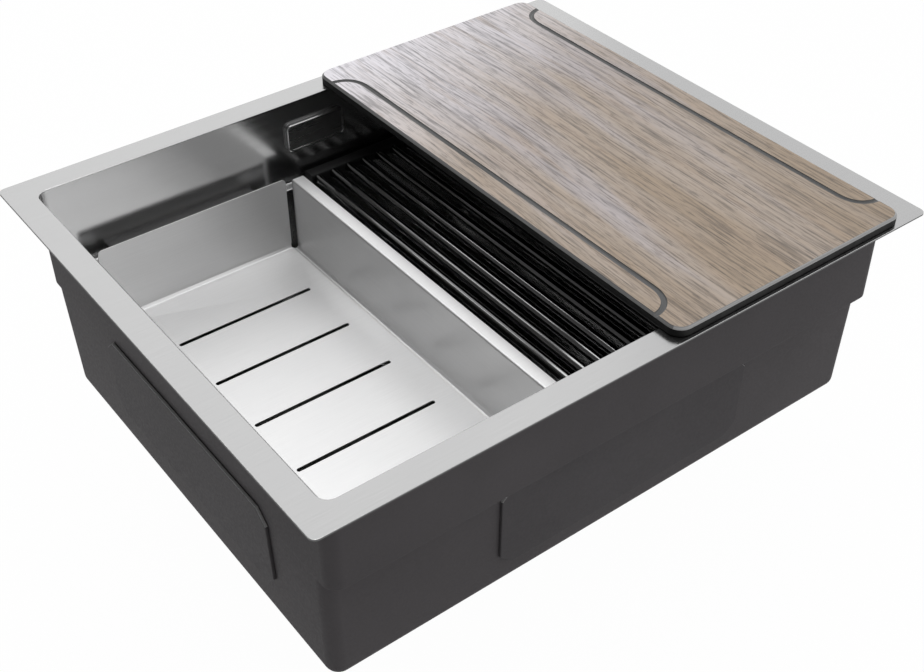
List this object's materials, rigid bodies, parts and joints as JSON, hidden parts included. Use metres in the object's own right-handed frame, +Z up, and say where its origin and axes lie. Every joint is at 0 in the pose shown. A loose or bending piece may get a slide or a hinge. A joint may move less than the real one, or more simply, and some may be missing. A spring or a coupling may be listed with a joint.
{
  "type": "workstation kitchen sink",
  "caption": "Rectangular steel kitchen sink with stepped long walls that carry a sliding perforated pan and a tube drying rack, a cutting board across the rim and a strainer waste.",
  "frame": {"origin": "centre of the rim's underside, where it rests on the worktop round the cut-out", "axes": "+X along the long side towards the cutting board's end, +Y from the front long wall to the wall with the overflow, +Z up"},
  "size_m": [0.6, 0.5, 0.3219],
  "materials": {
    "bowl_steel": "satin brushed stainless steel",
    "sound_coating": "sprayed dark sound-deadening coating",
    "sound_pads": "thick sound-deadening pad under the same dark spray",
    "cover_steel": "brushed steel plate with a polished raised border",
    "seal_rubber": "black sealing rubber",
    "waste_plastic": "pale grey moulded plastic",
    "screw_steel": "bright steel screws",
    "strainer_steel": "bright pressed stainless steel",
    "pan_steel": "satin stainless sheet",
    "silicone": "black silicone",
    "tube_coating": "steel tube with a dark satin coat",
    "board_laminate": "compact laminate with an oak pattern, a black core and a bevelled edge"
  },
  "bodies": {
    "sink": {"bowl": "bowl_steel", "outer_coating": "sound_coating", "sound_pad_left": "sound_pads", "sound_pad_right": "sound_pads", "sound_pad_front": "sound_pads", "sound_pad_back": "sound_pads", "overflow_cover": "cover_steel", "overflow_seal": "seal_rubber", "overflow_housing": "waste_plastic", "overflow_screw_left": "screw_steel", "overflow_screw_right": "screw_steel", "overflow_hose": "waste_plastic", "waste_washer_top": "seal_rubber", "strainer_cup": "strainer_steel", "waste_washer_under": "seal_rubber", "waste_body": "waste_plastic", "clamp_screw": "screw_steel", "union_nut": "waste_plastic", "tail_pipe": "waste_plastic"},
    "basket": {"basket_cup": "strainer_steel", "basket_knob": "strainer_steel", "basket_stopper": "seal_rubber", "stopper_plate": "screw_steel"},
    "pan": {"pan_sheet": "pan_steel", "pan_hanger_back": "pan_steel", "pan_hanger_front": "pan_steel", "pan_glide_back": "silicone", "pan_glide_front": "silicone"},
    "rack": {"rack_tube_01": "tube_coating", "rack_tube_02": "tube_coating", "rack_tube_03": "tube_coating", "rack_tube_04": "tube_coating", "rack_tube_05": "tube_coating", "rack_tube_06": "tube_coating", "rack_tube_07": "tube_coating", "rack_tube_08": "tube_coating", "rack_tube_09": "tube_coating", "rack_tube_10": "tube_coating", "rack_tube_11": "tube_coating", "rack_tube_12": "tube_coating", "rack_tube_13": "tube_coating", "rack_tube_14": "tube_coating", "rack_tube_15": "tube_coating", "rack_tube_16": "tube_coating", "rack_strip_back": "silicone", "rack_strip_front": "silicone"},
    "board": {"cutting_board": "board_laminate"}
  },
  "joints": [
    {"name": "board_slide", "type": "slide", "parent": "sink", "child": "board", "axis": [1, 0, 0], "range_m": [-0.312, 0.02]},
    {"name": "pan_slide", "type": "slide", "parent": "sink", "child": "pan", "axis": [1, 0, 0], "range_m": [-0.018, 0.002]},
    {"name": "rack_slide", "type": "slide", "parent": "sink", "child": "rack", "axis": [1, 0, 0], "range_m": [-0.01, 0.01]},
    {"name": "basket_lift", "type": "slide", "parent": "sink", "child": "basket", "axis": [0, 0, 1], "range_m": [0, 0.042]}
  ]
}
